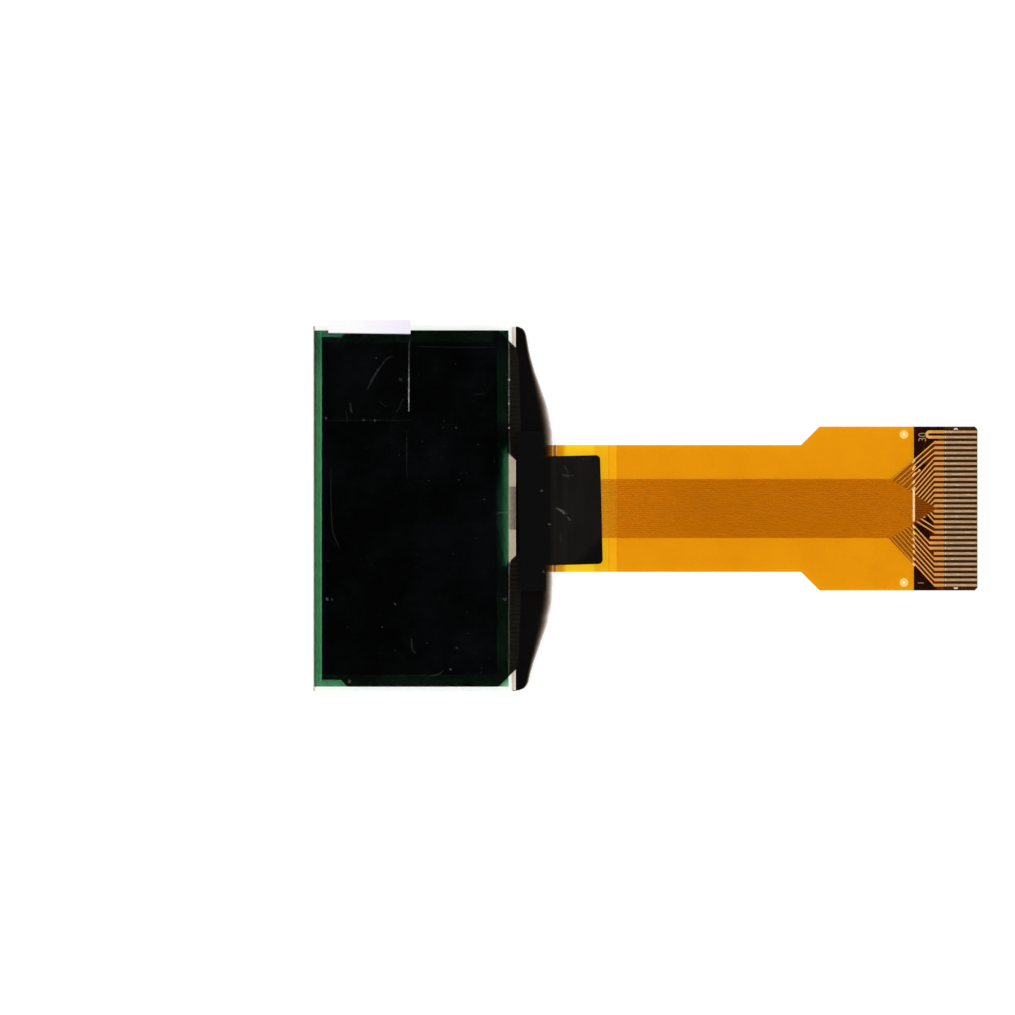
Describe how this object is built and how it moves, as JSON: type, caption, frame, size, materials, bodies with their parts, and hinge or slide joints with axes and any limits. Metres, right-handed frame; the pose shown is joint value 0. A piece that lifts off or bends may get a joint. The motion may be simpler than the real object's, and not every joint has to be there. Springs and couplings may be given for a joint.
{
  "type": "oled display module",
  "caption": "Small bare OLED display panel with a black-coated ledge, a light-shield tape and a flat amber flexible tail that ends in a row of plated contacts.",
  "frame": {"origin": "middle of the rear glass's back face, which lies on the table", "axes": "+X along the tail to its contacts, +Y across the tail from contact 1 to contact 30, +Z out of the display's front"},
  "size_m": [0.0628, 0.035, 0.0015],
  "materials": {
    "glass": "clear",
    "drying_material": "matte white",
    "sealant": "cured epoxy",
    "emitting_stack": "black from the front, metallic from behind",
    "wiring": "dark metal film under glass",
    "polarizing_sheet": "green-grey, transparent",
    "clear_film": "clear, scratched",
    "tab_film": "milky",
    "silicon": "polished silicon",
    "bond_film": "cured adhesive",
    "silicone": "black, brown where thin",
    "black_tape": "satin black",
    "polyimide": "amber, transparent",
    "copper": "etched copper",
    "plating": "bright plating",
    "stiffener_glue": "cured adhesive",
    "stiffener_board": "dark brown"
  },
  "bodies": {
    "root": {"rear_glass": "glass", "drying_sheet": "drying_material", "edge_seal": "sealant", "front_glass": "glass", "emitting_layers": "emitting_stack", "panel_wiring": "wiring", "polarizer": "polarizing_sheet", "protective_film": "clear_film", "pull_tab": "tab_film", "driver_chip": "silicon", "chip_bond_film": "bond_film", "tail_bond_film": "bond_film", "ledge_coating": "silicone", "light_shield_tape": "black_tape", "tail_base_film": "polyimide", "tail_tracks": "copper", "back_jumpers": "copper", "front_coverlay": "polyimide", "back_coverlay": "polyimide", "contact_plating": "plating", "stiffener_adhesive": "stiffener_glue", "tail_stiffener": "stiffener_board"}
  },
  "joints": []
}
